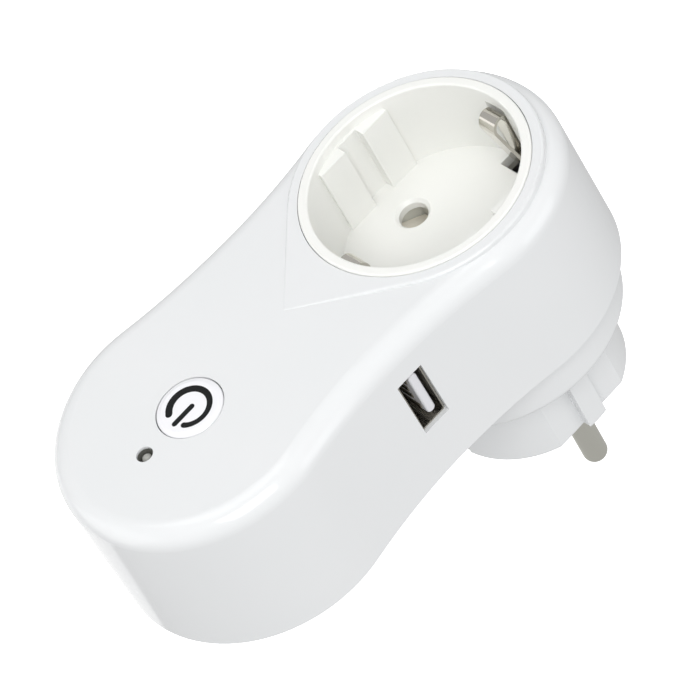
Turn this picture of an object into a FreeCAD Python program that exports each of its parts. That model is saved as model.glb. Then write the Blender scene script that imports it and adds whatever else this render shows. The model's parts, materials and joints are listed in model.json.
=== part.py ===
import FreeCAD, Part
import math
import os

# Smart plug with a pass-through earthed socket, a power button and a USB charging port.
# X is the width, Y runs from the room towards the wall, Z is up.
# The origin is the middle of the plug's front face, between its two pins.
# "Depth" is measured from the front face of the body towards the wall.

# ---- driving dimensions, mm ----
body_depth = 32.0           # front face to the rear edge of the housing
flange_depth = 11.0         # round step between housing and plug
plug_depth = 18.0
socket_end_r = 26.3         # outline: round end about the socket
control_end_r = 26.2        # outline: round end about the button
control_z = 56.6            # height of the upper round end's centre
waist_r = 120.0             # hollow sides between the round ends
rear_flare = 0.8            # how much wider the outline is at the rear edge
wall = 2.0
roof = 2.2                  # thickness of the front wall
face_round = 4.0            # rounded edge of the front face

plateau_r = 23.6            # raised teardrop about the socket
apex_z = plateau_r * math.sqrt(2)
deck_slope = 1.7            # degrees that the deck falls away below the apex
deck_blend = 5.0            # length of the blend each side of the fold

pin_pitch = 19.0
pin_r = 2.4
pin_neck_r = 1.9             # slimmer where the pin leaves the plug
pin_neck_end = 0.3            # beyond the plug's face
pin_length = 19.0
pin_x = pin_pitch / 2

insert_r = 21.5
insert_proud = 0.35
recess_r = 19.6
recess_depth = 17.5
floor_thick = 2.0
floor_depth = recess_depth - insert_proud
insert_back = floor_depth + floor_thick
floor_r = 20.1
guide_x = 16.9              # guide blocks on the recess sides
guide_half = 8.4
groove_half = 2.3
groove_x = 19.0
ledge_drop = 2.0
hole_r = 2.8
earth_half = 2.5            # half width of the openings for the earth clips
earth_slot_z = 16.4
earth_groove_r = 20.9       # blind groove behind the top of each clip
earth_groove_top = 2.6
earth_window_top = 9.0      # below this the groove is open right through the wall

flange_r = 24.2
flange_inner_r = 22.2
spigot_r = 22.9             # the plug body's neck inside the rear cover
plug_r = 18.7
plug_inner_r = 15.2
plug_flat_x = 16.8
plug_rib_half = 2.15
flange_back = body_depth + flange_depth
plug_face = flange_back + plug_depth
face_wall = 3.0

button_z = 56.3
button_r = 6.15
button_gap = 0.2
led_z = 67.4
led_hole_r = 1.55
seam = 0.12                 # gap between fixed mouldings

usb_z = 28.35
usb_depth = 14.6
usb_cut = (13.1, 5.8)       # opening in the wall: along the depth, along Z
usb_shell_size = (12.9, 5.6)
usb_shell_wall = 0.3
usb_mouth_x = -23.2         # just inside the wall's outer face
usb_shell_length = 15.3

screw_r = 1.1
screw_hole_r = 1.15
screw_head_r = 1.9
screw_head = 1.5
short_screw = 5.0
long_screw = 9.5
well_r = 2.1
flange_screw_xz = [(-15.06, -15.06), (15.06, -15.06)]
top_screw_xz = [(-14.0, 74.0), (14.0, 74.0)]
main_screw_xz = [(-18.0, 36.0), (18.0, 36.0), (0.0, 77.0)]
control_screw_xz = [(-16.5, 67.0), (-16.5, 46.5), (16.5, 44.5)]
carrier_screw_xz = [(-9.0, -12.0), (9.0, -12.0)]
insert_screw_xz = [(-14.5, 19.5), (14.5, 19.5)]
retainer_screw_xz = [(0.0, -10.0), (0.0, 10.0)]
clamp_post_xz = [(-12.2, 12.2), (12.2, 12.2), (-16.8, -4.0), (16.8, -4.0)]

carrier_r = 17.9
carrier_front = insert_back + 0.15
carrier_back = 36.4
shutter_front = 19.6
shutter_back = 24.0
shutter_half_x = 13.0
shutter_half_z = 3.3
shutter_travel = 6.5
shutter_gap = 0.3
spring_end_z = 15.0
contact_r = 2.45            # inside of a socket contact sleeve
contact_wall = 0.65
contact_front = 25.0
contact_back = 35.6

main_board_front = 25.6
board_thick = 1.6
control_board_front = 7.6
control_board_thick = 1.2
wire_r = 1.0
wire_bend_share = 0.35      # part of the shorter run that a wire's bend takes up
strip = 0.6                 # sheet thickness of the earth parts
strip_half = 2.0
clip_leg_z = 19.9           # height of a clip's root, where it flexes
clip_root = 20.0
bar_front = 38.2

face_y = -plug_face


# ---- helpers ----
def vec(x, depth, z):
    return FreeCAD.Vector(x, face_y + depth, z)


def cyl(r, d0, d1, x=0.0, z=0.0):
    # round bar along the depth
    return Part.makeCylinder(r, d1 - d0, vec(x, d0, z), FreeCAD.Vector(0, 1, 0))


def block(x0, x1, d0, d1, z0, z1):
    return Part.makeBox(x1 - x0, d1 - d0, z1 - z0, vec(x0, d0, z0))


def join(*shapes):
    return shapes[0].multiFuse(list(shapes[1:])).removeSplitter()


def turned(points, x, z):
    # solid of revolution about the depth axis through (x, z); points are (radius, depth)
    corners = [vec(x + r, d, z) for r, d in points]
    face = Part.Face(Part.makePolygon(corners + corners[:1]))
    return face.revolve(vec(x, 0, z), FreeCAD.Vector(0, 1, 0), 360)


def side_profile(points, x0, x1):
    # solid with a (z, depth) outline, from x0 to x1
    corners = [vec(x0, d, z) for z, d in points]
    face = Part.Face(Part.makePolygon(corners + corners[:1]))
    return face.extrude(FreeCAD.Vector(x1 - x0, 0, 0))


def arc(a, b, c):
    return Part.Arc(a, b, c).toShape()


def outline(grow, depth):
    # two round ends joined by hollow waist arcs, all tangent
    low_span = socket_end_r + waist_r
    high_span = control_end_r + waist_r
    waist_z = (low_span ** 2 - high_span ** 2 + control_z ** 2) / (2 * control_z)
    waist_x = math.sqrt(low_span ** 2 - waist_z ** 2)
    low_r = socket_end_r + grow
    high_r = control_end_r + grow
    low_x = waist_x * low_r / low_span
    low_z = waist_z * low_r / low_span
    high_x = waist_x * high_r / high_span
    high_z = control_z + (waist_z - control_z) * high_r / high_span
    side_x = waist_x - waist_r + grow
    lower = arc(vec(-low_x, depth, low_z), vec(0, depth, -low_r), vec(low_x, depth, low_z))
    right = arc(vec(low_x, depth, low_z), vec(side_x, depth, waist_z), vec(high_x, depth, high_z))
    upper = arc(vec(high_x, depth, high_z), vec(0, depth, control_z + high_r), vec(-high_x, depth, high_z))
    left = arc(vec(-high_x, depth, high_z), vec(-side_x, depth, waist_z), vec(-low_x, depth, low_z))
    return Part.Wire([lower, right, upper, left])


def flared(d0, d1, grow=0.0):
    # the outline drawn out from one depth to another, widening towards the rear
    wires = [outline(grow + rear_flare * d / body_depth, d) for d in (d0, d1)]
    return Part.makeLoft(wires, True, True)


def deck_cutter(sunk):
    # everything in front of the deck: level above the fold, falling away below it
    slope = math.radians(deck_slope)
    bottom_z = -40.0
    fold_start = vec(-40, 0, apex_z + deck_blend)
    fold_middle = vec(-40, deck_blend * math.tan(slope / 4), apex_z)
    fold_end = vec(-40, deck_blend * math.sin(slope), apex_z - deck_blend * math.cos(slope))
    low = vec(-40, (apex_z - bottom_z) * math.tan(slope), bottom_z)
    corners = [fold_end, low, vec(-40, -6, bottom_z), vec(-40, -6, apex_z + deck_blend), fold_start]
    rest = Part.makePolygon(corners)
    wire = Part.Wire([arc(fold_start, fold_middle, fold_end)] + rest.Edges)
    tool = Part.Face(wire).extrude(FreeCAD.Vector(80, 0, 0))
    tool.translate(FreeCAD.Vector(0, sunk, 0))
    return tool


def plateau():
    # teardrop: a circle and its two tangents that meet at a right angle
    leg = plateau_r / math.sqrt(2)
    ring = arc(vec(leg, 0, leg), vec(0, 0, -plateau_r), vec(-leg, 0, leg))
    tip = Part.makePolygon([vec(-leg, 0, leg), vec(0, 0, apex_z), vec(leg, 0, leg)])
    solid = Part.Face(Part.Wire([ring] + tip.Edges)).extrude(FreeCAD.Vector(0, 6, 0))
    rim = [e for e in solid.Edges if e.BoundBox.YMax < face_y + 0.01]
    return solid.makeFillet(0.5, rim)


def screw(length, x, depth, z, towards):
    # pan-head self-tapping screw; depth is under the head, towards is +1 or -1 along the depth
    axis = FreeCAD.Vector(0, towards, 0)
    head = Part.makeCylinder(screw_head_r, screw_head, vec(x, depth, z), axis * -1)
    head = head.makeFillet(0.5, [e for e in head.Edges if abs(e.BoundBox.Center.y - face_y - depth) > 1])
    shank = Part.makeCylinder(screw_r, length - 1.2, vec(x, depth, z), axis)
    tip = Part.makeCone(screw_r, 0.2, 1.2, vec(x, depth, z) + axis * (length - 1.2), axis)
    solid = join(head, shank, tip)
    top = depth - towards * screw_head
    for wide, long in ((0.5, 2.2), (2.2, 0.5)):
        low = min(top, top + towards * 0.8)
        solid = solid.cut(block(x - wide / 2, x + wide / 2, low, low + 0.8, z - long / 2, z + long / 2))
    return solid


def tube(points, r):
    # round bar along straight runs that meet in tangent arcs
    edges = []
    start = points[0]
    for i in range(1, len(points) - 1):
        before = points[i - 1] - points[i]
        after = points[i + 1] - points[i]
        turn = math.pi - before.getAngle(after)
        radius = wire_bend_share * min(before.Length, after.Length) / math.tan(turn / 2)
        reach = radius * math.tan(turn / 2)
        before.normalize()
        after.normalize()
        middle = before + after
        middle.normalize()
        arc_start = points[i] + before * reach
        arc_end = points[i] + after * reach
        arc_top = points[i] + middle * (radius / math.cos(turn / 2) - radius)
        edges.append(Part.makeLine(start, arc_start))
        edges.append(arc(arc_start, arc_top, arc_end))
        start = arc_end
    edges.append(Part.makeLine(start, points[-1]))
    circle = Part.makeCircle(r, points[0], points[1] - points[0])
    return Part.Wire(edges).makePipeShell([Part.Wire(circle)], True, False)


# ---- housing ----
def outer_body():
    body = flared(0, body_depth).cut(deck_cutter(0))
    front = [e for e in body.Edges
             if e.BoundBox.YMax < face_y + 3 and e.Curve.TypeId != "Part::GeomLine"]
    body = body.makeFillet(face_round, front)
    return join(body, plateau())


def housing_bosses():
    bosses = []
    for x, z in top_screw_xz:
        bosses.append(cyl(2.8, 14, 28.35, x, z).common(flared(0, body_depth, -0.5)))
    for x, z in flange_screw_xz:
        bosses.append(cyl(2.8, 21.2, 29.9, x, z))
        web = block(20.5, 25.6, 21.2, 29.9, -0.8, 0.8)
        web.rotate(vec(0, 0, 0), FreeCAD.Vector(0, 1, 0), math.degrees(math.atan2(-z, x)))
        bosses.append(web)
    for x, z in control_screw_xz:
        bosses.append(cyl(2.4, 1.5, control_board_front, x, z))
    for x, z in insert_screw_xz:
        bosses.append(cyl(2.4, 1.5, 5.0, x, z))
    return bosses


def front_housing():
    body = outer_body()
    hollow = flared(roof, body_depth + 1, -wall).cut(deck_cutter(roof))
    body = join(body.cut(hollow), *housing_bosses())
    for x, z in top_screw_xz:
        body = body.cut(cyl(screw_hole_r, 18, 29, x, z))
    for x, z in flange_screw_xz:
        body = body.cut(cyl(screw_hole_r, 21.7, 30, x, z))
    for x, z in control_screw_xz:
        body = body.cut(cyl(screw_hole_r, 3.4, 8, x, z))
    for x, z in insert_screw_xz:
        body = body.cut(cyl(screw_hole_r, 1.2, 6, x, z))
    body = body.cut(cyl(insert_r + seam, -2, 4.9))
    body = body.cut(cyl(button_r + button_gap, -2, 5, 0, button_z))
    body = body.cut(cyl(led_hole_r, -2, 5, 0, led_z))
    half_d = usb_cut[0] / 2
    half_z = usb_cut[1] / 2
    return body.cut(block(-30, -18, usb_depth - half_d, usb_depth + half_d, usb_z - half_z, usb_z + half_z))


def rear_cover():
    grow = rear_flare * (body_depth - wall) / body_depth - wall - seam
    plate = Part.Face(outline(grow, body_depth - wall)).extrude(FreeCAD.Vector(0, wall, 0))
    cups = [cyl(3.2, 28.4, 31, x, z).common(flared(0, body_depth, -wall - seam)) for x, z in top_screw_xz]
    posts = [cyl(2.4, main_board_front + board_thick, 31, x, z) for x, z in main_screw_xz]
    plate = join(plate, *cups, *posts)
    for x, z in top_screw_xz:
        plate = plate.cut(cyl(well_r, 29.4, 33, x, z)).cut(cyl(1.25, 28, 30, x, z))
    for x, z in main_screw_xz:
        plate = plate.cut(cyl(screw_hole_r, 27, 31, x, z))
    for x, z in flange_screw_xz:
        plate = plate.cut(cyl(well_r + 0.3, 20, 40, x, z))
    return plate.cut(cyl(spigot_r + seam, 20, 40))


def plug_shell():
    # the plug's outer form: a round bar with four flats, which leave a rib on each side
    plug = cyl(plug_r, flange_back - 1, plug_face)
    for side in (-1, 1):
        for rib in (-1, 1):
            x = sorted((side * plug_flat_x, side * 25))
            z = sorted((rib * plug_rib_half, rib * 25))
            plug = plug.cut(block(x[0], x[1], flange_back, plug_face + 1, z[0], z[1]))
    nose = [e for e in plug.Edges if e.BoundBox.YMin > face_y + plug_face - 0.01]
    return plug.makeFillet(0.7, nose)


def plug_body():
    flange = cyl(flange_r, body_depth, flange_back)
    rear_edge = [e for e in flange.Edges if e.BoundBox.YMin > face_y + flange_back - 0.01]
    flange = flange.makeFillet(1.5, rear_edge)
    shell = join(cyl(spigot_r, body_depth - wall, body_depth + 1), flange, plug_shell())
    shell = shell.cut(cyl(flange_inner_r, 20, flange_back - wall))
    shell = shell.cut(cyl(plug_inner_r, 30, plug_face - face_wall))
    neck = cyl(spigot_r, body_depth - wall, body_depth)
    room = join(neck, cyl(flange_r - 0.4, body_depth, flange_back - 1))
    wells = [cyl(3.2, body_depth - wall, flange_back - 1, x, z).common(room) for x, z in flange_screw_xz]
    pads = [cyl(2.4, 55.8, 59, x, z) for x, z in retainer_screw_xz]
    clamps = [cyl(1.5, carrier_back + 1.6, flange_back - 1, x, z) for x, z in clamp_post_xz]
    shell = join(shell, *wells, *pads, *clamps)
    for x, z in flange_screw_xz:
        shell = shell.cut(cyl(well_r, 31.4, flange_back + 1, x, z)).cut(cyl(1.25, 29, 32, x, z))
    for x, z in retainer_screw_xz:
        shell = shell.cut(cyl(screw_hole_r, 55, 59.4, x, z))
    for x in (-pin_x, pin_x):
        shell = shell.cut(cyl(pin_r + 0.02, 57, plug_face + 1, x)).cut(cyl(2.82, 57, plug_face - 0.6, x))
    for side in (-1, 1):
        z = sorted((side * 17.4, side * 18.6))
        shell = shell.cut(block(-2.6, 2.6, flange_back - 3, flange_back, z[0], z[1]))
        z = sorted((side * 17.4, side * 25))
        shell = shell.cut(block(-2.6, 2.6, flange_back, plug_face + 1, z[0], z[1]))
        z = sorted((side * 15.4, side * 18))
        shell = shell.cut(block(-2.6, 2.6, plug_face - 1, plug_face + 1, z[0], z[1]))
    return shell


def socket_insert():
    # ring and side wall of the recess, with a guide block on each side
    recess = cyl(recess_r, -insert_proud, floor_depth)
    for side in (-1, 1):
        x = sorted((side * guide_x, side * 25))
        guide = block(x[0], x[1], ledge_drop - insert_proud, 20, -guide_half, guide_half)
        x = sorted((side * 15, side * groove_x))
        recess = recess.cut(guide.cut(block(x[0], x[1], -1, 20, -groove_half, groove_half)))
    ring = cyl(insert_r, -insert_proud, insert_back).cut(recess).cut(cyl(floor_r + 0.03, floor_depth, 25))
    rim = [e for e in ring.Edges if e.BoundBox.YMax < face_y - insert_proud + 0.01]
    ring = ring.makeFillet(0.4, rim)
    collar = cyl(22.9, 5.0, 6.5)
    ears = [cyl(3.0, 5.0, 6.5, x, z) for x, z in insert_screw_xz]
    ring = join(ring, join(collar, *ears).cut(cyl(insert_r - 0.3, 4, 7)))
    for x, z in insert_screw_xz:
        ring = ring.cut(cyl(1.2, 4, 7, x, z))
    groove = cyl(earth_groove_r, earth_groove_top, earth_window_top + 1).cut(cyl(recess_r - 1, 0, 20))
    for side in (-1, 1):
        z = sorted((side * earth_slot_z, side * 25))
        ring = ring.cut(groove.common(block(-earth_half, earth_half, 0, 20, z[0], z[1])))
        ring = ring.cut(block(-earth_half, earth_half, earth_window_top, 25, z[0], z[1]))
    return ring


def socket_floor():
    # floor of the recess, with the pin holes, the slots for the earth clips and two screw pegs behind
    pegs = [cyl(2.0, insert_back - 1, 24.8, x, z) for x, z in carrier_screw_xz]
    floor = join(cyl(floor_r, floor_depth, insert_back), *pegs)
    for x, z in carrier_screw_xz:
        floor = floor.cut(cyl(screw_hole_r, 20.0, 25, x, z))
    for x in (-pin_x, pin_x):
        mouth = Part.makeCone(hole_r + 0.6, hole_r, 0.6, vec(x, floor_depth, 0), FreeCAD.Vector(0, 1, 0))
        floor = floor.cut(cyl(hole_r, 16, 21, x)).cut(mouth)
    for side in (-1, 1):
        z = sorted((side * earth_slot_z, side * 25))
        floor = floor.cut(block(-earth_half, earth_half, 10, 25, z[0], z[1]))
    return floor


# ---- button and light ----
def symbol_shape(d0, d1):
    # generic power mark: an open ring and a bar, with round ends; the ring is a little thinner at -X
    ring = cyl(4.35, d0, d1, 0, button_z).cut(cyl(3.15, d0, d1, -0.18, button_z))
    opening = math.radians(40)
    reach = 8.0
    wedge = Part.makePolygon([vec(0, d0, button_z), vec(reach * math.sin(opening), d0, button_z + reach),
                              vec(-reach * math.sin(opening), d0, button_z + reach), vec(0, d0, button_z)])
    ring = ring.cut(Part.Face(wedge).extrude(FreeCAD.Vector(0, d1 - d0, 0)))
    angle = math.atan2(reach * math.sin(opening), reach)
    ends = [cyl(r, d0, d1, side * 3.75 * math.sin(angle), button_z + 3.75 * math.cos(angle))
            for side, r in ((1, 0.64), (-1, 0.53))]
    bar = block(-0.92, 0.12, d0, d1, button_z - 0.3, button_z + 3.9)
    tips = [cyl(0.52, d0, d1, -0.4, button_z + z) for z in (-0.3, 3.9)]
    return Part.makeCompound([join(ring, *ends), join(bar, *tips)])


def power_button():
    profile = [(0, -0.3), (5.2, -0.3), (6.0, -0.05), (button_r, 0.12), (button_r, 2.3), (7.3, 2.3),
               (7.3, 3.1), (2.0, 3.1), (2.0, 3.15), (0, 3.15)]
    return turned(profile, 0, button_z).cut(symbol_shape(-0.5, -0.05))


def power_symbol():
    return symbol_shape(-0.32, -0.05)


def tact_switch_body():
    body = block(-3, 3, 4.1, control_board_front, button_z - 3, button_z + 3)
    body = body.makeChamfer(0.3, [e for e in body.Edges if e.BoundBox.YMax < face_y + 4.2])
    feet = [block(x, x + 0.8, control_board_front - 0.3, control_board_front, button_z - 4, button_z + 4)
            for x in (-2.6, 1.8)]
    return join(body, *feet).cut(cyl(1.85, 4, 5.8, 0, button_z))


def tact_switch_plunger():
    return turned([(0, 3.2), (1.55, 3.2), (1.75, 3.4), (1.75, 4.9), (0, 4.9)], 0, button_z)


def status_light_pipe():
    angles = [math.radians(t) for t in range(0, 91, 15)]
    dome = [(1.45 * math.sin(a), 1.3 - 0.8 * math.cos(a)) for a in angles]
    return turned(dome + [(1.45, 2.6), (2.3, 2.6), (2.3, 3.6), (1.3, 3.6), (1.2, 6.7), (0, 6.7)], 0, led_z)


def status_led():
    base = block(-1.0, 1.0, 7.1, control_board_front, led_z - 0.8, led_z + 0.8)
    return join(base, cyl(0.6, 6.8, 7.2, 0, led_z))


# ---- electronics ----
def control_board():
    board = cyl(21.6, control_board_front, control_board_front + control_board_thick, 0, control_z)
    board = board.cut(block(-30, 30, 0, 30, 20, 42)).cut(block(-30, 30, 0, 30, 76.5, 90))
    for x, z in control_screw_xz:
        board = board.cut(cyl(1.2, 5, 12, x, z))
    for i in range(5):
        x = -8.0 + 2.54 * i
        board = board.cut(block(x - 0.35, x + 0.35, 5, 12, 72.45, 73.15))
    return board


def main_board():
    grow = rear_flare * main_board_front / body_depth - 3.2
    board = Part.Face(outline(grow, main_board_front)).extrude(FreeCAD.Vector(0, board_thick, 0))
    board = board.cut(block(-30, 30, 20, 30, -30, 27))
    for x, z in main_screw_xz:
        board = board.cut(cyl(1.2, 20, 30, x, z))
    for x, z in top_screw_xz:
        board = board.cut(cyl(3.6, 20, 30, x, z))
    for i in range(5):
        x = -8.0 + 2.54 * i
        board = board.cut(block(x - 0.35, x + 0.35, 20, 30, 72.45, 73.15))
    return board


def board_header():
    # five square pins that join the two boards, in a moulded strip
    pins = []
    for i in range(5):
        x = -8.0 + 2.54 * i
        pins.append(block(x - 0.32, x + 0.32, 6.8, 28.2, 72.48, 73.12))
    return join(block(-9.3, 3.46, 23.1, main_board_front, 71.5, 74.1), *pins)


def relay():
    body = block(-15, 0.5, 10.6, main_board_front, 43, 62)
    return body.makeFillet(0.6, [e for e in body.Edges if e.BoundBox.YMin < face_y + 24])


def transformer_core():
    core = block(4, 17, 13, 25, 43.5, 49.5)
    return core.cut(block(6.5, 9, 15, 23, 43, 50)).cut(block(12, 14.5, 15, 23, 43, 50))


def transformer_winding():
    coil = block(6.7, 14.3, 15.2, 22.8, 41, 52)
    coil = coil.makeFillet(1.8, [e for e in coil.Edges if e.BoundBox.YLength > 7])
    return coil.cut(block(8.9, 12.1, 14, 24, 43.4, 49.6))


def can_capacitor(r, height, x, z):
    can = cyl(r, main_board_front - height, main_board_front, x, z)
    can = can.makeFillet(0.5, [e for e in can.Edges if e.BoundBox.YMax < face_y + main_board_front - 1])
    groove = Part.makeTorus(r, 0.4, vec(x, main_board_front - 2, z), FreeCAD.Vector(0, 1, 0))
    return can.cut(groove)


def input_capacitor():
    return can_capacitor(4.0, 12.5, 9.5, 60.5)


def output_capacitor():
    return can_capacitor(3.15, 11.0, 8.5, 69.5)


def safety_capacitor():
    box = block(-15, -2, 14.6, main_board_front, 64, 69)
    return box.makeFillet(0.4, box.Edges)


def varistor():
    disc = Part.makeCylinder(3.5, 3.0, vec(-3.5, 20.5, 36), FreeCAD.Vector(0, 0, 1))
    disc = disc.makeFillet(1.0, [e for e in disc.Edges if e.Curve.TypeId == "Part::GeomCircle"])
    legs = [cyl(0.3, 22.5, main_board_front, -3.5 + x, 37.5) for x in (-1.8, 1.8)]
    return join(disc, *legs)


def fuse():
    body = Part.makeCylinder(1.8, 10, vec(2, 23.2, 35.3), FreeCAD.Vector(1, 0, 0))
    body = body.makeFillet(0.5, [e for e in body.Edges if e.Curve.TypeId == "Part::GeomCircle"])
    ends = [cyl(0.4, 23.2, main_board_front, x, 35.3) for x in (3.0, 11.0)]
    return join(body, *ends)


def bridge_rectifier():
    body = block(-13.0, -6.5, 23.1, main_board_front - 0.3, 36.0, 40.5)
    legs = [block(x, x + 0.8, 24.6, main_board_front, 35.2, 41.3) for x in (-12.3, -8.0)]
    return join(body, *legs)


def wifi_module():
    return block(3, 18, 8.8, 9.6, 50, 67)


def wifi_shield_can():
    can = block(4, 17, 9.6, 12.0, 51, 62)
    can = can.makeFillet(0.4, [e for e in can.Edges if e.BoundBox.YMax > face_y + 11])
    return can.cut(block(4.2, 16.8, 9.5, 11.8, 51.2, 61.8))


# ---- USB port ----
def usb_shell():
    half_d = usb_shell_size[0] / 2
    half_z = usb_shell_size[1] / 2
    back = usb_mouth_x + usb_shell_length
    outer = block(usb_mouth_x, back, usb_depth - half_d, usb_depth + half_d, usb_z - half_z, usb_z + half_z)
    outer = outer.makeFillet(0.5, [e for e in outer.Edges if e.BoundBox.XLength > 5])
    half_d -= usb_shell_wall
    half_z -= usb_shell_wall
    inner = block(usb_mouth_x - 1, back - usb_shell_wall, usb_depth - half_d, usb_depth + half_d,
                  usb_z - half_z, usb_z + half_z)
    shell = outer.cut(inner)
    for d in (usb_depth - 3.2, usb_depth + 1.6):
        for z in (usb_z - 4, usb_z + 2):
            slot = block(usb_mouth_x + 4, usb_mouth_x + 8, d, d + 1.6, z, z + 2)
            shell = shell.cut(slot)
    return shell


def usb_tongue():
    tongue = block(-22.8, -10.4, 9.3, 19.9, 26.65, 28.5)
    tongue = tongue.makeFillet(0.85, [e for e in tongue.Edges if e.BoundBox.XLength > 5])
    tongue = tongue.makeFillet(0.4, [e for e in tongue.Edges if e.BoundBox.XMax < -22.7])
    half_d = usb_shell_size[0] / 2 - usb_shell_wall - 0.05
    half_z = usb_shell_size[1] / 2 - usb_shell_wall - 0.05
    base = block(-10.5, -8.3, usb_depth - half_d, usb_depth + half_d, usb_z - half_z, usb_z + half_z)
    return join(tongue, base)


def usb_contacts():
    # four spring contacts that lie on the tongue's upper side
    contacts = []
    for d, length in ((11.1, 11.0), (13.6, 10.2), (15.6, 10.2), (18.1, 11.0)):
        contacts.append(block(-10.6 - length, -10.55, d - 0.5, d + 0.5, 28.52, 28.72))
    return Part.makeCompound(contacts)


def usb_board():
    board = block(-20.6, 8.0, 7.0, 25.5, 31.35, 32.55)
    corners = [e for e in board.Edges if e.BoundBox.ZLength > 1 and e.BoundBox.YMax < face_y + 8]
    return board.makeFillet(1.0, corners)


def usb_inductor():
    body = block(-3, 3, 12, 18, 32.6, 35.4)
    body = body.makeChamfer(0.8, [e for e in body.Edges if e.BoundBox.ZLength > 2])
    coil = Part.makeCylinder(2.3, 0.3, vec(0, 15, 35.3), FreeCAD.Vector(0, 0, 1))
    return join(body, coil)


# ---- socket contacts, shutter and earth ----
def contact_carrier():
    body = cyl(carrier_r, carrier_front, carrier_back)
    body = join(body, cyl(20.4, carrier_front, 21.0))
    room = shutter_gap
    half_x = shutter_half_x + room
    low_z = -shutter_half_z - room
    high_z = shutter_half_z + shutter_travel + 0.4
    body = body.cut(block(-half_x, half_x, 19, shutter_back + 0.4, low_z, high_z))
    body = body.cut(block(-2.2, 2.2, 19, shutter_back + 0.4, 8, spring_end_z))
    for side in (-1, 1):
        body = body.cut(cyl(contact_r + contact_wall + 0.25, 24, 40, side * pin_x))
        x = sorted((side * 11.5, side * 14.8))
        body = body.cut(block(x[0], x[1], 34.1, 40, -2, 20))
        z = sorted((side * 16.2, side * 30))
        body = body.cut(block(-3.0, 3.0, 19, 22, z[0], z[1]))
    for x, z in carrier_screw_xz:
        body = body.cut(cyl(2.15, 19, 25.2, x, z)).cut(cyl(1.2, 25, 27, x, z)).cut(cyl(2.2, 26.7, 40, x, z))
    return body


def carrier_cover():
    cover = cyl(carrier_r, carrier_back + 0.05, carrier_back + 1.55)
    cover = cover.makeFillet(0.4, [e for e in cover.Edges if e.BoundBox.YMin > face_y + carrier_back + 1.5])
    for x in (-pin_x, pin_x):
        cover = cover.cut(block(x - 1.3, x + 1.3, 36, 39, 13.8, 20))
    return cover


def shutter():
    wedges = []
    slope = [(-shutter_half_z, shutter_back - 0.4), (shutter_half_z, shutter_front),
             (shutter_half_z, shutter_back), (-shutter_half_z, shutter_back)]
    for side in (-1, 1):
        x = sorted((side * 6.0, side * shutter_half_x))
        wedges.append(side_profile(slope, x[0], x[1]))
    middle = block(-6.0, 6.0, 20.4, shutter_back, -shutter_half_z, shutter_half_z)
    middle = middle.cut(cyl(1.5, 19, 23, 0, 0))
    return join(middle, *wedges)


def shutter_spring():
    mean_r = 1.4
    start = shutter_half_z + 0.25
    length = spring_end_z - 0.25 - start
    helix = Part.makeHelix(length / 7.0, length, mean_r)
    circle = Part.makeCircle(0.2, FreeCAD.Vector(mean_r, 0, 0), FreeCAD.Vector(0, 1, 0))
    spring = Part.Wire(helix.Edges).makePipeShell([Part.Wire(circle)], True, True)
    spring.translate(vec(0, 22.1, start))
    return spring


def socket_contact(side):
    # spring sleeve that grips a plug pin, with a tail for its wire
    x = side * pin_x
    sleeve = cyl(contact_r + contact_wall, contact_front, contact_back, x)
    sleeve = sleeve.cut(cyl(contact_r, 20, 40, x))
    sleeve = sleeve.cut(block(x - 0.5, x + 0.5, contact_front - 1, contact_back - 3, -5, 5))
    tail_x = sorted((side * 12.05, side * 14.4))
    tail = block(tail_x[0], tail_x[1], contact_back - strip, contact_back, -1.5, 11.5)
    return join(sleeve, tail)


def live_socket_contact():
    return socket_contact(-1)


def neutral_socket_contact():
    return socket_contact(1)


def earth_clip(side):
    # hairpin of springy strip: up the wall, over the top, in to the nose and back to the wall
    route = [(clip_leg_z, clip_root), (19.35, 5.2), (18.9, 3.9), (17.9, 3.7), (16.6, 4.9), (16.4, 5.9),
             (18.85, 17.6)]
    outer = []
    inner = []
    for i in range(len(route)):
        a = route[max(i - 1, 0)]
        b = route[min(i + 1, len(route) - 1)]
        run = math.hypot(b[0] - a[0], b[1] - a[1])
        nz = (b[1] - a[1]) / run * strip / 2
        nd = -(b[0] - a[0]) / run * strip / 2
        outer.append(vec(-strip_half, route[i][1] + nd, side * (route[i][0] + nz)))
        inner.append(vec(-strip_half, route[i][1] - nd, side * (route[i][0] - nz)))
    curve_out = Part.BSplineCurve()
    curve_out.interpolate(outer[1:-1])
    curve_in = Part.BSplineCurve()
    curve_in.interpolate(inner[1:-1])
    edges = [Part.makeLine(outer[0], outer[1]), curve_out.toShape(), Part.makeLine(outer[-2], outer[-1]),
             Part.makeLine(outer[-1], inner[-1]), Part.makeLine(inner[-1], inner[-2]),
             curve_in.toShape(), Part.makeLine(inner[1], inner[0]), Part.makeLine(inner[0], outer[0])]
    face = Part.Face(Part.Wire(Part.__sortEdges__(edges)))
    return face.extrude(FreeCAD.Vector(2 * strip_half, 0, 0))


def earth_clip_upper():
    return earth_clip(1)


def earth_clip_lower():
    return earth_clip(-1)


def earth_bar():
    # U-shaped strap behind the contact carrier; its ends carry the earth clips
    reach = clip_leg_z + strip / 2
    bar = block(-2.3, 2.3, bar_front, bar_front + 0.8, -reach, reach)
    ends = [block(-2.3, 2.3, clip_root + 0.35, bar_front, z, z + strip) for z in (-reach, reach - strip)]
    return join(bar, *ends)


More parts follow.
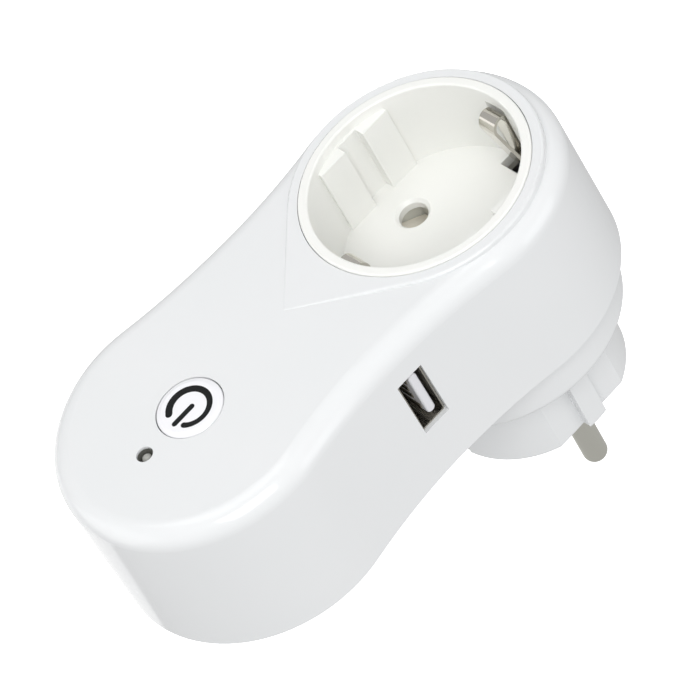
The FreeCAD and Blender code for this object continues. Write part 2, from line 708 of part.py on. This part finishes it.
def plug_earth_contact(side):
    # strap in the plug's flank groove, bent over its front edge
    z = sorted((side * 17.6, side * 18.3))
    leg = block(-2.3, 2.3, bar_front + 0.8, plug_face - 0.1, z[0], z[1])
    z = sorted((side * 15.6, side * 18.3))
    lip = block(-2.3, 2.3, plug_face - 0.8, plug_face - 0.1, z[0], z[1])
    z = sorted((side * 14.5, side * 18.3))
    foot = block(-2.3, 2.3, bar_front + 0.8, bar_front + 1.5, z[0], z[1])
    strap = join(leg, lip, foot)
    corner = [e for e in strap.Edges if e.BoundBox.XLength > 4 and e.BoundBox.YMin > face_y + plug_face - 0.11
              and abs(e.BoundBox.Center.z) > 18]
    return strap.makeFillet(0.5, corner)


def plug_earth_contact_upper():
    return plug_earth_contact(1)


def plug_earth_contact_lower():
    return plug_earth_contact(-1)


# ---- plug pins ----
def plug_pin(side):
    x = side * pin_x
    neck = cyl(pin_neck_r, plug_face - 0.6, plug_face + pin_neck_end, x)
    blade = cyl(pin_r, plug_face + pin_neck_end, plug_face + pin_length, x)
    tip = [e for e in blade.Edges if e.BoundBox.YMin > face_y + plug_face + pin_length - 0.01]
    blade = blade.makeFillet(2.1, tip)
    root = cyl(2.8, plug_face - face_wall, plug_face - 0.6, x)
    collar = cyl(3.6, 55.8, plug_face - face_wall, x)
    tail = cyl(1.6, 50.0, 55.8, x)
    return join(blade, neck, root, collar, tail).cut(cyl(wire_r, 49, 52.5, x))


def live_pin():
    return plug_pin(-1)


def neutral_pin():
    return plug_pin(1)


def pin_retainer():
    plate = cyl(14.9, 53.5, 55.75)
    for x in (-pin_x, pin_x):
        plate = plate.cut(cyl(1.7, 50, 60, x))
    for x, z in retainer_screw_xz:
        plate = plate.cut(cyl(1.2, 50, 60, x, z))
    return plate


# ---- wires ----
def pin_wire(side):
    x = side * pin_x
    return tube([vec(x, 52.4, 0), vec(x, 39.9, 0), vec(x, 39.9, 16.7), vec(x, 28.5, 16.7),
                 vec(x, 28.5, 33)], wire_r)


def contact_wire(side):
    x = side * 13.2
    return tube([vec(x, 35.3, 11.6), vec(x, 35.3, 15.6), vec(x, 28.6, 15.6), vec(x, 28.6, 33)], wire_r)


def live_in_wire():
    return pin_wire(-1)


def neutral_in_wire():
    return pin_wire(1)


def live_out_wire():
    return contact_wire(-1)


def neutral_out_wire():
    return contact_wire(1)


# ---- fasteners ----
def long_screws():
    screws = [screw(long_screw, x, 31.4, z, -1) for x, z in flange_screw_xz]
    screws += [screw(long_screw, x, 29.4, z, -1) for x, z in top_screw_xz]
    return Part.makeCompound(screws)


def short_screws():
    screws = [screw(short_screw, x, main_board_front, z, 1) for x, z in main_screw_xz]
    control_back = control_board_front + control_board_thick
    screws += [screw(short_screw, x, control_back, z, -1) for x, z in control_screw_xz]
    screws += [screw(short_screw, x, 26.7, z, -1) for x, z in carrier_screw_xz]
    screws += [screw(short_screw, x, 6.5, z, -1) for x, z in insert_screw_xz]
    screws += [screw(short_screw, x, 53.5, z, 1) for x, z in retainer_screw_xz]
    return Part.makeCompound(screws)


parts = [
    front_housing, rear_cover, plug_body, socket_insert, socket_floor, power_button, power_symbol,
    tact_switch_body, tact_switch_plunger, status_light_pipe, status_led, control_board, main_board,
    board_header, relay,
    transformer_core, transformer_winding, input_capacitor, output_capacitor, safety_capacitor, varistor,
    fuse, bridge_rectifier, wifi_module, wifi_shield_can, usb_shell, usb_tongue, usb_contacts, usb_board,
    usb_inductor, contact_carrier, carrier_cover, shutter, shutter_spring, live_socket_contact,
    neutral_socket_contact, earth_clip_upper, earth_clip_lower, earth_bar, plug_earth_contact_upper,
    plug_earth_contact_lower, live_pin, neutral_pin, pin_retainer, live_in_wire, neutral_in_wire,
    live_out_wire, neutral_out_wire, long_screws, short_screws,
]

os.makedirs("parts", exist_ok=True)
for make in parts:
    shape = make()
    solids = len(shape.Solids)
    print(make.__name__, "solids", solids, "volume", round(shape.Volume, 1), "valid", shape.isValid())
    shape.exportStep("parts/" + make.__name__ + ".step")
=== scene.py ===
import json
import math
import bpy
from mathutils import Matrix, Vector


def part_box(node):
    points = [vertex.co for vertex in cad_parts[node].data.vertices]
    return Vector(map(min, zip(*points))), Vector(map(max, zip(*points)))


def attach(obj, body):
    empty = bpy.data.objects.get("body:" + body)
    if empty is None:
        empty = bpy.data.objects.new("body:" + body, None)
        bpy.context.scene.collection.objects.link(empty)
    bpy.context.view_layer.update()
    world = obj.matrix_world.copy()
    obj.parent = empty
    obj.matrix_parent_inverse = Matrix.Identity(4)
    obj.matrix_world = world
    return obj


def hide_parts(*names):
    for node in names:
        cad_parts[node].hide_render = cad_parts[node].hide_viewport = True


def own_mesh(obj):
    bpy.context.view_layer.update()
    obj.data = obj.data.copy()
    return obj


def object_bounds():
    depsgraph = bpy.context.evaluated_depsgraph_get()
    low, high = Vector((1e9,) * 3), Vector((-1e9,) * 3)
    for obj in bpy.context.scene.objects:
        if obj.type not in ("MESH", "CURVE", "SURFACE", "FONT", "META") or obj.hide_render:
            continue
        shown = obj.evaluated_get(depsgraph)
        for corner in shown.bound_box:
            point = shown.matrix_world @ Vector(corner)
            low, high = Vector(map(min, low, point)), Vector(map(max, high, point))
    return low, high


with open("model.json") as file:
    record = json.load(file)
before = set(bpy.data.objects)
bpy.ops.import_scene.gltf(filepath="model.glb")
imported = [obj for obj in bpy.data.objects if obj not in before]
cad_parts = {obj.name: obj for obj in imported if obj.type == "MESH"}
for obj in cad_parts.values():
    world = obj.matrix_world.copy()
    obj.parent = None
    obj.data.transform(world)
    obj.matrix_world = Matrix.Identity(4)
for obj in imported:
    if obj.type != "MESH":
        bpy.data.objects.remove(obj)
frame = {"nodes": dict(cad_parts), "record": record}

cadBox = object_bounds()
mm = 0.001
nodes = frame["nodes"]
record = frame["record"]
bodyOf = {node: body for body, members in record["behaviour"]["bodies"].items()
          for node in members}
slotOf = {part["node"]: part["material_slot"] for part in record["subparts"]}
print("frame loaded:", len(nodes), "nodes")


# small helpers

def linear(hexColour):
    parts = [int(hexColour[i:i + 2], 16) / 255 for i in (0, 2, 4)]
    return [c / 12.92 if c <= 0.04045 else ((c + 0.055) / 1.055) ** 2.4 for c in parts] + [1.0]


def addNode(tree, kind, settings=None, links=None):
    node = tree.nodes.new("ShaderNode" + kind)
    for name, value in (settings or {}).items():
        if name in node.inputs:
            node.inputs[name].default_value = value
        else:
            setattr(node, name, value)
    for name, (source, output) in (links or {}).items():
        tree.links.new(source.outputs[output], node.inputs[name])
    return node


def lookFrom(place, aim):
    toward = Vector(aim) - Vector(place)
    return Matrix.Translation(place) @ toward.to_track_quat("-Z", "Y").to_matrix().to_4x4()


# camera: a long lens, rolled, as if the plug lay on its pins and the far edge of its body

shot = {
    "place": (-0.43176, -0.53661, 0.17082),
    "aim": (0.00051, -0.04086, 0.02655),
    "roll": 136.284,      # degrees
    "lens": 198.53,       # mm
    "sensor": 36,         # mm
    "clip": (0.05, 30),   # nearest and farthest, in metres
}
cameraData = bpy.data.cameras.new("shotCamera")
cameraData.lens = shot["lens"]
cameraData.sensor_width = shot["sensor"]
cameraData.clip_start, cameraData.clip_end = shot["clip"]
cameraData.dof.use_dof = False
camera = bpy.data.objects.new("shotCamera", cameraData)
bpy.context.collection.objects.link(camera)
camera.matrix_world = (lookFrom(shot["place"], shot["aim"])
                       @ Matrix.Rotation(math.radians(-shot["roll"]), 4, "Z"))
bpy.context.scene.camera = camera
bpy.context.scene.view_settings.view_transform = "Standard"

# studio: an even white room with soft boxes, and a pale floor and backdrop well away

studio = {
    "room": 0.575,            # strength of the even light from all round
    "floorDrop": 0.9,         # metres below the plug
    "floorAcross": 11,
    "backdropRadius": 6,
    "backdropRings": (48, 24),
    "paintTones": ("F4F4F4", "F8F8F8"),
    "paintMottle": 4.0,       # per metre
    "paintRough": 0.9,
    "paintGlow": 1.0,
    "boxes": [
        # place, size across and up, power in watts
        ((-1.0, -1.15, 0.4), (0.9, 0.9), 11.8),      # front, at the left
        ((0.3, -1.6, 0.1), (0.9, 0.9), 4.0),         # straight on to the face
        ((0.6, -0.4, 1.45), (1.4, 1.4), 5.0),        # over the button end
        ((-1.1, -0.2, -0.85), (0.9, 0.9), 3.2),      # low, on the side with the port
        ((1.35, 0.75, 0.45), (1.2, 1.2), 2.7),       # behind, for the far side wall
    ],
}
world = bpy.data.worlds.new("whiteRoom")
bpy.context.scene.world = world
world.use_nodes = True
roomLight = world.node_tree.nodes["Background"]
roomLight.inputs["Color"].default_value = linear("FFFFFF")
roomLight.inputs["Strength"].default_value = studio["room"]
for place, (across, up), power in studio["boxes"]:
    lamp = bpy.data.lights.new("softBox", "AREA")
    lamp.shape = "RECTANGLE"
    lamp.size = across
    lamp.size_y = up
    lamp.energy = power
    box = bpy.data.objects.new("softBox", lamp)
    bpy.context.collection.objects.link(box)
    box.matrix_world = lookFrom(place, shot["aim"])
    box.visible_camera = False

# matt wall paint, rolled: flat white with a faint mottle, lit up evenly so that it has no edge
floorPaint = bpy.data.materials.new("matt white floor paint")
floorPaint.use_nodes = True
floorTree = floorPaint.node_tree
floorShader = floorTree.nodes["Principled BSDF"]
floorShader.inputs["Roughness"].default_value = studio["paintRough"]
floorShader.inputs["Emission Color"].default_value = linear("FFFFFF")
floorShader.inputs["Emission Strength"].default_value = studio["paintGlow"]
floorPlace = addNode(floorTree, "TexCoord")
floorMottle = addNode(floorTree, "TexNoise", {"Scale": studio["paintMottle"], "Detail": 3.0},
                      {"Vector": (floorPlace, "Object")})
floorTone = addNode(floorTree, "ValToRGB", links={"Fac": (floorMottle, "Fac")})
for element, colour in zip(floorTone.color_ramp.elements, studio["paintTones"]):
    element.color = linear(colour)
floorTree.links.new(floorTone.outputs["Color"], floorShader.inputs["Base Color"])

bpy.ops.object.select_all(action="DESELECT")
bpy.ops.mesh.primitive_plane_add(size=studio["floorAcross"],
                                 location=(0, 0, cadBox[0].z - studio["floorDrop"]))
floor = bpy.context.object
floor.name = "floor"
bpy.ops.object.select_all(action="DESELECT")
segments, rings = studio["backdropRings"]
bpy.ops.mesh.primitive_uv_sphere_add(segments=segments, ring_count=rings,
                                     radius=studio["backdropRadius"])
backdrop = bpy.context.object
backdrop.name = "backdrop"
for thing in (floor, backdrop):
    thing.data.materials.append(floorPaint)
    thing.visible_diffuse = False      # they only back the view, the room lights the plug evenly
    thing.visible_glossy = False
    thing.visible_transmission = False
    thing.visible_shadow = False
print("camera, lights and floor made")


# finishes, by slot: tone is the darker and lighter colour, grain the pattern's size in mm
# (x, y, z), relief its depth in mm, rough the smoother and rougher end. The real grain of most
# is some hundredths of a millimetre, too fine to show, so the sizes here are as coarse as it
# needs to show; a note gives the real size where it is far off.

finishes = {
    # gloss ABS from a polished mould: clean white, sharp highlights, the faintest orange peel,
    # about 0.5 mm across on the real one
    "shell": {
        "name": "gloss white moulded ABS", "tone": ("E4E6E7", "E7E8E9"),
        "grain": (3, 3, 3), "relief": 0.0012, "rough": (0.10, 0.14), "ior": 1.53},
    # polycarbonate from a finely eroded mould: a touch warmer than the shell, and drawn lighter
    # than it as painted light that lifts the shade in the socket recess; its highlights soft and
    # broad; the mould's grit is about 0.02 mm
    "insert": {
        "name": "semi-gloss white moulded polycarbonate", "tone": ("EFF0EC", "F2F2EF"),
        "grain": (2, 2, 2), "relief": 0.0005, "rough": (0.34, 0.42), "ior": 1.58},
    # gloss ABS like the shell's, a brighter and cooler white that stands out from the deck
    "button": {
        "name": "gloss cool white moulded ABS", "tone": ("F0F0F3", "F3F3F6"),
        "grain": (2, 2, 2), "relief": 0.001, "rough": (0.12, 0.16), "ior": 1.53},
    # ink printed into the button: near black, slightly matt
    "symbol": {
        "name": "black printed ink", "tone": ("0C0E0F", "131516"),
        "grain": (0.3, 0.3, 0.3), "relief": 0.003, "rough": (0.35, 0.5), "ior": 1.32},
    # nylon from a plain mould: deep black with a satin sheen
    "dark_moulding": {
        "name": "black moulded nylon", "tone": ("0E0E0E", "181818"),
        "grain": (0.4, 0.4, 0.4), "relief": 0.006, "rough": (0.4, 0.55), "ior": 1.53},
    # acrylic with white filler, polished by its mould: milky, part clear, with a wet shine
    "light_pipe": {
        "name": "milky moulded acrylic", "tone": ("C4C4BE", "D2D2CC"),
        "grain": (1, 1, 1), "relief": 0.0005, "rough": (0.08, 0.12), "ior": 1.49,
        "clear": 0.35},
    # a dark grey ring, drawn as smoked acrylic, that paints the shade inside the lens hole
    "lens_collar": {
        "name": "dark ring of painted shade", "tone": ("4E4E4A", "5C5C57"),
        "grain": (0.6, 0.6, 0.6), "relief": 0.001, "rough": (0.15, 0.25), "ior": 1.49},
    # cast epoxy with phosphor in it: pale cream, glossy, slightly uneven
    "led": {
        "name": "milky epoxy", "tone": ("E6E0C4", "F0EBD6"),
        "grain": (0.5, 0.5, 0.5), "relief": 0.002, "rough": (0.2, 0.3), "ior": 1.5},
    # lacquer over etched copper: deep green, glossy, paler and raised where copper lies under
    "circuit_board": {
        "name": "green solder mask over copper", "tone": ("123A22", "1E5A35"),
        "grain": (1.6, 1.6, 1.6), "relief": 0.02, "rough": (0.3, 0.4), "ior": 1.5,
        "pattern": "cells"},
    # polyester from a plain mould: strong dark blue, satin
    "relay_case": {
        "name": "blue moulded polyester", "tone": ("12204E", "1A2B60"),
        "grain": (0.5, 0.5, 0.5), "relief": 0.004, "rough": (0.4, 0.5), "ior": 1.55},
    # pressed and fired powder: dull charcoal with a fine speckle, grains of 0.01 mm in the real
    "ferrite": {
        "name": "sintered ferrite", "tone": ("1C1C1D", "333335"),
        "grain": (0.25, 0.25, 0.25), "relief": 0.01, "rough": (0.5, 0.7), "ior": 1.9,
        "pattern": "cells"},
    # wound film: warm yellow, glossy, in thin turns one over the other
    "winding_tape": {
        "name": "yellow polyester tape", "tone": ("B89420", "D2B13A"),
        "grain": (6, 6, 0.5), "relief": 0.02, "rough": (0.25, 0.4), "ior": 1.6},
    # sleeve shrunk on with heat: shiny black with slight rings
    "capacitor_sleeve": {
        "name": "black shrunk PVC sleeve", "tone": ("0F0F16", "1A1A22"),
        "grain": (3, 0.4, 3), "relief": 0.005, "rough": (0.2, 0.3), "ior": 1.54},
    # filled polyester from a plain mould: mustard yellow, satin
    "film_box": {
        "name": "yellow moulded box", "tone": ("B08C18", "C6A42C"),
        "grain": (0.6, 0.6, 0.6), "relief": 0.005, "rough": (0.35, 0.5), "ior": 1.54},
    # dipped and baked: blue, glossy, a little lumpy where the resin ran
    "varistor_coat": {
        "name": "blue dipped epoxy", "tone": ("16305E", "20417A"),
        "grain": (1.2, 1.2, 1.2), "relief": 0.03, "rough": (0.2, 0.35), "ior": 1.55},
    # fired body with a dull coat: stone grey, no shine
    "fuse_body": {
        "name": "grey coated ceramic", "tone": ("8C8068", "A39A84"),
        "grain": (0.5, 0.5, 0.5), "relief": 0.01, "rough": (0.5, 0.6), "ior": 1.6},
    # as the green board, in a blue that is almost black
    "module_board": {
        "name": "dark blue solder mask", "tone": ("0B1226", "142242"),
        "grain": (1.2, 1.2, 1.2), "relief": 0.02, "rough": (0.3, 0.4), "ior": 1.5,
        "pattern": "cells"},
    # rolled sheet with a tin coat: soft pale grey shine, drawn out one way
    "tinned_steel": {
        "name": "tinned steel sheet", "tone": ("B0B0AC", "C4C4C0"),
        "grain": (0.3, 0.3, 6), "relief": 0.003, "rough": (0.25, 0.4), "metal": 1.0},
    # rolled nickel-plated strip: fine lines along the roll, a warm grey shine
    "usb_steel": {
        "name": "nickel-plated rolled steel", "tone": ("A8A49A", "BEBBB2"),
        "grain": (6, 0.25, 0.25), "relief": 0.002, "rough": (0.22, 0.32), "metal": 1.0},
    # liquid-crystal polymer: cool white, faintly streaked along the way it flowed in the mould
    "usb_moulding": {
        "name": "white moulded liquid-crystal polymer", "tone": ("DCDCE0", "E6E6EA"),
        "grain": (4, 0.4, 0.4), "relief": 0.004, "rough": (0.3, 0.42), "ior": 1.6},
    # stamped and plated spring strip: a warm dark grey shine, lines along each contact
    "contact_gilt": {
        "name": "nickel-plated phosphor bronze", "tone": ("8C8576", "A39C8E"),
        "grain": (4, 0.2, 0.2), "relief": 0.002, "rough": (0.2, 0.3), "metal": 1.0},
    # uncoloured nylon from a plain mould: cream, dull
    "carrier": {
        "name": "cream moulded nylon", "tone": ("D2D2CA", "DCDCD4"),
        "grain": (0.6, 0.6, 0.6), "relief": 0.006, "rough": (0.4, 0.5), "ior": 1.53},
    # acetal: warm white with a waxy, slippery sheen; the white is drawn lighter as painted light
    # that lifts the shade down in the pin holes
    "shutter": {
        "name": "white acetal, lightened with painted light", "tone": ("F6F0E0", "FBF6EA"),
        "grain": (0.8, 0.8, 0.8), "relief": 0.001, "rough": (0.3, 0.4), "ior": 1.48},
    # wire drawn through a die: bright grey, with fine lines
    "spring_steel": {
        "name": "drawn spring steel", "tone": ("8E8E8E", "A6A6A6"),
        "grain": (0.1, 0.1, 1.5), "relief": 0.002, "rough": (0.2, 0.3), "metal": 1.0},
    # rolled and stamped: yellow, with lines along the roll
    "contact_brass": {
        "name": "stamped brass strip", "tone": ("B08A3C", "C8A352"),
        "grain": (0.2, 4, 0.2), "relief": 0.003, "rough": (0.2, 0.35), "metal": 1.0},
    # bright nickel on formed strip: mirror-like, so it carries the room's lights and darks
    "clip_nickel": {
        "name": "bright nickel-plated brass strip", "tone": ("CFCBC2", "DDDAD3"),
        "grain": (0.3, 3, 0.3), "relief": 0.001, "rough": (0.08, 0.14), "metal": 1.0},
    # satin nickel on turned brass: soft shine, and rings round the pin, 0.02 mm on the real one
    "pin_nickel": {
        "name": "satin nickel-plated turned brass", "tone": ("C9C8BE", "D6D5CC"),
        "grain": (4, 0.15, 4), "relief": 0.001, "rough": (0.3, 0.4), "metal": 1.0},
    # extruded round the strands: satin brown, faintly drawn out along the wire
    "wire_brown": {
        "name": "brown extruded PVC", "tone": ("3E2110", "52301A"),
        "grain": (0.5, 0.5, 3), "relief": 0.004, "rough": (0.35, 0.45), "ior": 1.54},
    # the same in blue
    "wire_blue": {
        "name": "blue extruded PVC", "tone": ("14306E", "1E4490"),
        "grain": (0.5, 0.5, 3), "relief": 0.004, "rough": (0.35, 0.45), "ior": 1.54},
    # cold-headed and plated: a cool grey shine
    "screw_zinc": {
        "name": "bright zinc-plated steel", "tone": ("A4A6A4", "BCBEBC"),
        "grain": (0.4, 0.1, 0.4), "relief": 0.002, "rough": (0.25, 0.35), "metal": 1.0},
}
driftPerMetre = 60.0      # how often the tone changes: slow swings, about 17 mm long
cellRandomness = 0.8


def makeFinish(finish):
    material = bpy.data.materials.new(finish["name"])
    material.use_nodes = True
    tree = material.node_tree
    shader = tree.nodes["Principled BSDF"]
    place = addNode(tree, "TexCoord")
    scale = [1 / (size * mm) for size in finish["grain"]]
    stretch = addNode(tree, "Mapping", {"Scale": scale}, {"Vector": (place, "Object")})
    if finish.get("pattern") == "cells":
        grain = addNode(tree, "TexVoronoi", {"Scale": 1.0, "Randomness": cellRandomness},
                        {"Vector": (stretch, "Vector")})
        height = toneSource = (grain, "Distance")
    else:
        grain = addNode(tree, "TexNoise", {"Scale": 1.0, "Detail": 2.0},
                        {"Vector": (stretch, "Vector")})
        drift = addNode(tree, "TexNoise", {"Scale": driftPerMetre, "Detail": 1.0},
                        {"Vector": (place, "Object")})
        height = (grain, "Fac")
        toneSource = (drift, "Fac")
    tone = addNode(tree, "ValToRGB", links={"Fac": toneSource})
    for element, colour in zip(tone.color_ramp.elements, finish["tone"]):
        element.color = linear(colour)
    smoother, rougher = finish["rough"]
    gloss = addNode(tree, "MapRange", {"To Min": smoother, "To Max": rougher}, {"Value": height})
    bump = addNode(tree, "Bump", {"Distance": finish["relief"] * mm, "Strength": 1.0},
                   {"Height": height})
    tree.links.new(tone.outputs["Color"], shader.inputs["Base Color"])
    tree.links.new(gloss.outputs["Result"], shader.inputs["Roughness"])
    tree.links.new(bump.outputs["Normal"], shader.inputs["Normal"])
    if "metal" in finish:
        shader.inputs["Metallic"].default_value = finish["metal"]
    else:
        shader.inputs["IOR"].default_value = finish["ior"]
    if "clear" in finish:
        shader.inputs["Transmission Weight"].default_value = finish["clear"]
    return material


materials = {slot: makeFinish(finish) for slot, finish in finishes.items()}
for name, node in nodes.items():
    for spot in node.material_slots:
        spot.material = materials[slotOf[name]]
print("finishes made:", len(materials))


# modelling helpers, for the pieces that take a CAD node's place

smoothAngle = math.radians(32)
endOn = 0.9      # a face is an end of a bar when its normal lies this far along y


def pickFaces(mesh, wanted):
    bpy.ops.object.mode_set(mode="EDIT")
    bpy.ops.mesh.select_all(action="DESELECT")
    bpy.ops.object.mode_set(mode="OBJECT")
    for face in mesh.polygons:
        face.select = wanted(face)
    bpy.ops.object.mode_set(mode="EDIT")


def roundEnd(size, segments):
    bpy.ops.mesh.region_to_loop()
    bpy.ops.mesh.bevel(offset=size * mm, segments=segments, affect="EDGES")


def slide(y):
    bpy.ops.mesh.extrude_region_move(TRANSFORM_OT_translate={"value": (0, y * mm, 0)})


def roundBar(x, z, radius, back, front, sides):
    bpy.ops.object.select_all(action="DESELECT")
    bpy.ops.mesh.primitive_cylinder_add(vertices=sides, radius=radius * mm,
                                        depth=(front - back) * mm,
                                        location=(x * mm, (front + back) / 2 * mm, z * mm),
                                        rotation=(math.radians(90), 0, 0))
    bpy.ops.object.transform_apply(location=True, rotation=True, scale=True)
    return bpy.context.object


def finishPiece(piece, name, slot, body, replaced, finish=None):
    bpy.ops.object.mode_set(mode="OBJECT")
    bpy.ops.object.shade_smooth_by_angle(angle=smoothAngle)
    piece.name = name
    piece.data.materials.clear()
    piece.data.materials.append(materials[finish or slot])
    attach(piece, body)
    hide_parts(replaced)


# plug pins: turned bars with a round tip, and the shoulders that the plug's moulding grips

pinTurning = {
    "radius": 2.4,       # mm
    "sides": 72,
    "tipRound": 2.1,
    "tipSteps": 12,
    "back": -0.6,        # y where the bar meets its first shoulder
    "shoulders": [       # radius, and the y where that shoulder ends, going inwards
        (2.8, -3.0),
        (3.6, -5.2),
        (1.6, -11.0),
    ],
}
for node in ("live_pin", "neutral_pin"):
    low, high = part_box(node)
    x = (low.x + high.x) / 2 / mm
    radius, back = pinTurning["radius"], pinTurning["back"]
    pin = roundBar(x, 0, radius, back, high.y / mm, pinTurning["sides"])
    pickFaces(pin.data, lambda face: face.normal.y > endOn)
    roundEnd(pinTurning["tipRound"], pinTurning["tipSteps"])
    pickFaces(pin.data, lambda face: face.normal.y < -endOn)
    for shoulderRadius, shoulderBack in pinTurning["shoulders"]:
        slide(0)
        grow = shoulderRadius / radius
        bpy.ops.transform.resize(value=(grow, 1, grow), center_override=(x * mm, back * mm, 0))
        slide(shoulderBack - back)
        radius, back = shoulderRadius, shoulderBack
    finishPiece(pin, node.split("_")[0] + "PlugPin", "pin_nickel", bodyOf[node], node)
print("plug pins made")


# status light: a milky lens, a little below the deck, in a dark collar that paints the hole's
# shade

statusLight = {
    "domeDepth": 0.5,        # mm from the face to the CAD pipe's dome
    "sides": 48,
    "lensRadius": 0.95,
    "lensFront": 0.55,       # mm below the face
    "lensBack": 6.7,
    "lensRound": 0.8,
    "lensRoundSteps": 8,
    "collarRadius": 1.5,
    "collarFront": 0.45,
    "collarBack": 2.6,
    "collarRim": 0.15,       # width of the flat rim
    "collarDip": 1.3,        # how deep the funnel inside it goes
    "collarNarrowing": 0.5,
}
low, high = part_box("status_light_pipe")
lightZ = (low.z + high.z) / 2 / mm
faceY = low.y / mm - statusLight["domeDepth"]

lens = roundBar(0, lightZ, statusLight["lensRadius"], faceY + statusLight["lensFront"],
                faceY + statusLight["lensBack"], statusLight["sides"])
pickFaces(lens.data, lambda face: face.normal.y < -endOn)
roundEnd(statusLight["lensRound"], statusLight["lensRoundSteps"])
finishPiece(lens, "statusLens", "light_pipe", "housing", "status_light_pipe")

# the collar's dark grey stands in for the shade inside the lens hole: painted shade
collar = roundBar(0, lightZ, statusLight["collarRadius"], faceY + statusLight["collarFront"],
                  faceY + statusLight["collarBack"], statusLight["sides"])
pickFaces(collar.data, lambda face: face.normal.y < -endOn)
bpy.ops.mesh.inset(thickness=statusLight["collarRim"] * mm)
slide(statusLight["collarDip"])
shrink = 1 - statusLight["collarNarrowing"] / statusLight["collarRadius"]
bpy.ops.transform.resize(value=(shrink, 1, shrink), center_override=(0, 0, lightZ * mm))
finishPiece(collar, "statusLensShadeRing", "light_pipe", "housing", "status_light_pipe",
            "lens_collar")
print("status light made")


# the shutter's coil spring: a copy of the CAD coil with its corners merged, moving with its body

springSeat = {
    "z": 15.0,           # mm
    "travel": 6.5,
    "merge": 0.001,      # corners nearer than this are one
}
spring = bpy.data.objects.new("shutterCoil", nodes["shutter_spring"].data.copy())
bpy.context.collection.objects.link(spring)
bpy.ops.object.select_all(action="DESELECT")
spring.select_set(True)
bpy.context.view_layer.objects.active = spring
bpy.ops.object.mode_set(mode="EDIT")
bpy.ops.mesh.select_all(action="SELECT")
bpy.ops.mesh.remove_doubles(threshold=springSeat["merge"] * mm)
finishPiece(spring, "shutterCoil", "spring_steel", bodyOf["shutter_spring"], "shutter_spring")
low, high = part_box("shutter_spring")
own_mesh(spring)
print("shutter spring made")
